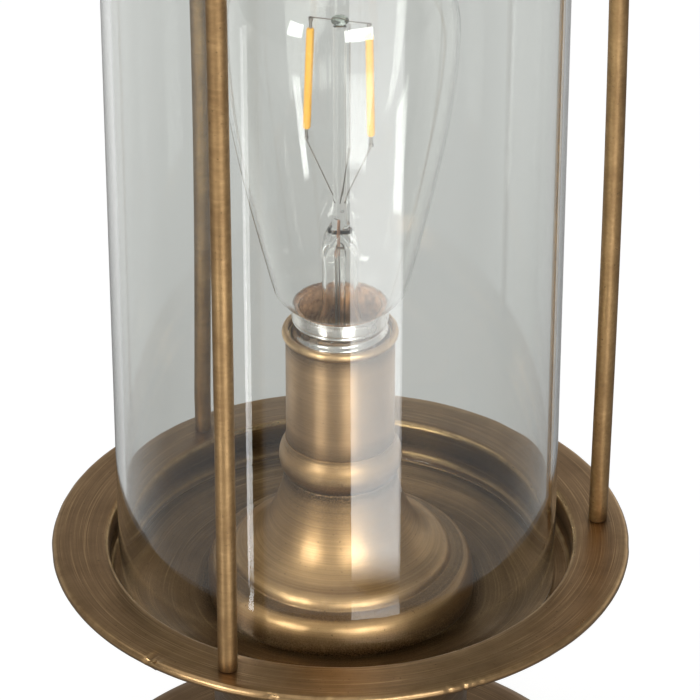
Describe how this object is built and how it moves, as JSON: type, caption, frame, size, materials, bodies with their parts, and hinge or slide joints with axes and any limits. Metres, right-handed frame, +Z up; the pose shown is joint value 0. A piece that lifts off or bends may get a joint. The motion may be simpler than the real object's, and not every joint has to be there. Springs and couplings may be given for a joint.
{
  "type": "desk lamp",
  "caption": "Lantern-style brass desk lamp: round foot and column, dished tray with upright rods and top ring, lift-out glass cylinder around a screw-in filament bulb.",
  "frame": {"origin": "centre of the foot on the surface that the lamp stands on", "axes": "+Z up along the lamp's axis, +X to the right, -Y towards the front; the cord inlet is at +Y"},
  "size_m": [0.1586, 0.1586, 0.3319],
  "materials": {
    "aged_brass": "satin",
    "rod_brass": "satin",
    "turned_brass": "brushed",
    "chimney_glass": "clear",
    "bulb_glass": "clear",
    "nickel": "polished",
    "black_glass": "gloss",
    "solder": "satin",
    "cap_cement": "matt",
    "filament_amber": "matt",
    "lead_wire": "satin",
    "porcelain": "glazed",
    "contact_brass": "bright",
    "liner_board": "matt",
    "zinc_steel": "zinc plated",
    "weight_iron": "cast",
    "plate_paint": "matt black",
    "felt": "felt",
    "bush_plastic": "matt"
  },
  "bodies": {
    "stand": {"foot_shell": "aged_brass", "foot_weight": "weight_iron", "foot_plate": "plate_paint", "foot_felt": "felt", "plate_screws": "zinc_steel", "cord_bush": "bush_plastic", "earth_screw": "zinc_steel", "earth_tag": "contact_brass", "column_tube": "aged_brass", "centring_cup_lower": "zinc_steel", "centring_cup_upper": "zinc_steel", "threaded_tube": "zinc_steel", "tube_nuts": "zinc_steel", "tube_washers": "zinc_steel", "tray": "aged_brass", "rod_front": "rod_brass", "rod_right": "rod_brass", "rod_rear": "rod_brass", "rod_lower_nuts": "rod_brass", "rod_finials": "rod_brass", "top_ring": "aged_brass", "socket_plinth": "turned_brass", "socket_sleeve": "turned_brass", "socket_liner": "liner_board", "socket_base": "porcelain", "socket_screw_shell": "contact_brass", "socket_contact": "contact_brass", "socket_rivets": "contact_brass"},
    "chimney": {"glass_chimney": "chimney_glass"},
    "bulb_tip": {"bulb_contact": "solder"},
    "bulb": {"bulb_cap": "nickel", "bulb_insulator": "black_glass", "bulb_cement": "cap_cement", "bulb_glass": "bulb_glass", "bulb_stem": "bulb_glass", "bulb_filaments": "filament_amber", "bulb_wires": "lead_wire"}
  },
  "joints": [
    {"name": "chimney_lift", "type": "slide", "parent": "stand", "child": "chimney", "axis": [0, 0, 1], "range_m": [0, 0.24]},
    {"name": "bulb_rise", "type": "slide", "parent": "stand", "child": "bulb_tip", "axis": [0, 0, 1], "range_m": [0, 0.0182]},
    {"name": "bulb_turn", "type": "hinge", "parent": "bulb_tip", "child": "bulb", "pos_m": [0, 0, 0.157], "axis": [0, 0, 1], "range_deg": [0, 1800]}
  ],
  "couplings": [
    {"joint": "bulb_rise", "follows": "bulb_turn", "m_per_rad": 0.00057757}
  ]
}
